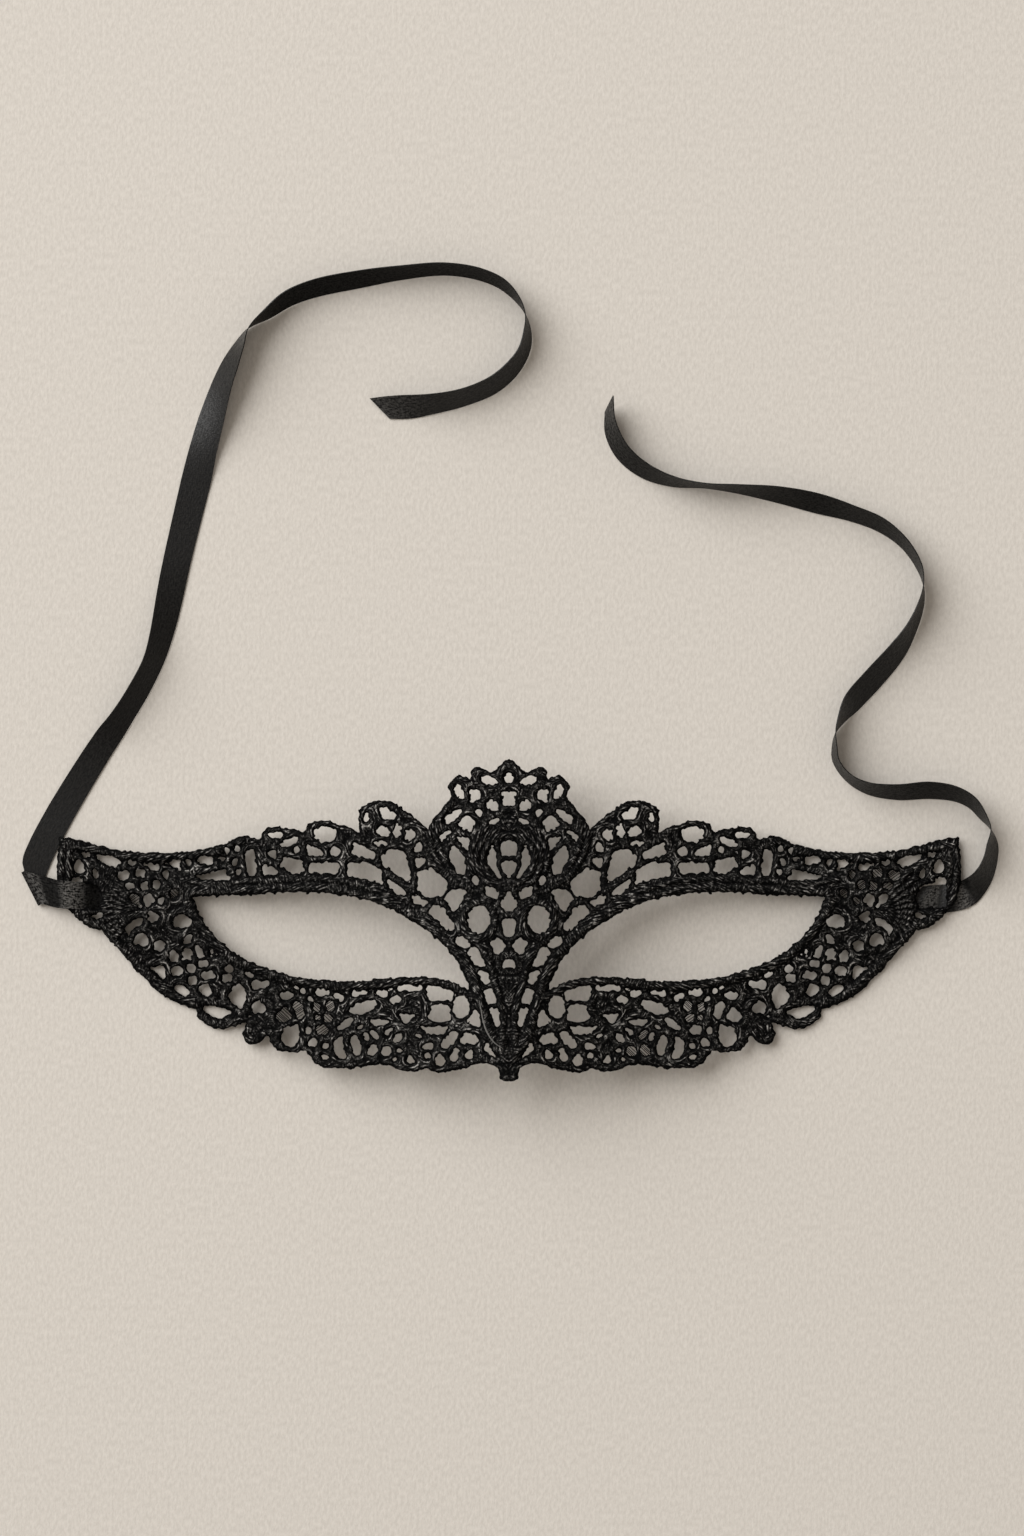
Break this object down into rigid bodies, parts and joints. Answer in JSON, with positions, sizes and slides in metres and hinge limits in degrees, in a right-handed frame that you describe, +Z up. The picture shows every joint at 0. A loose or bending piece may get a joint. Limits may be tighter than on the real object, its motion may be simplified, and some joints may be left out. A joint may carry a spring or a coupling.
{
  "type": "lace masquerade mask",
  "caption": "Openwork corded lace eye mask with a tall crest over the nose, lying face up with its two flat satin tie ribbons spread out.",
  "frame": {"origin": "on the table, under the middle of the lace (without the ribbons)", "axes": "+X to the viewer's right along the lace, +Y towards the crest and the ribbons' loops, +Z up out of the mask's face"},
  "size_m": [0.2442, 0.2026, 0.017],
  "materials": {
    "lace": "matt black satin-stitched thread, slightly fuzzy",
    "ribbon": "black satin weave with a soft sheen"
  },
  "bodies": {
    "root": {"lace_mask": "lace", "ribbon_left": "ribbon", "ribbon_right": "ribbon"}
  },
  "joints": []
}
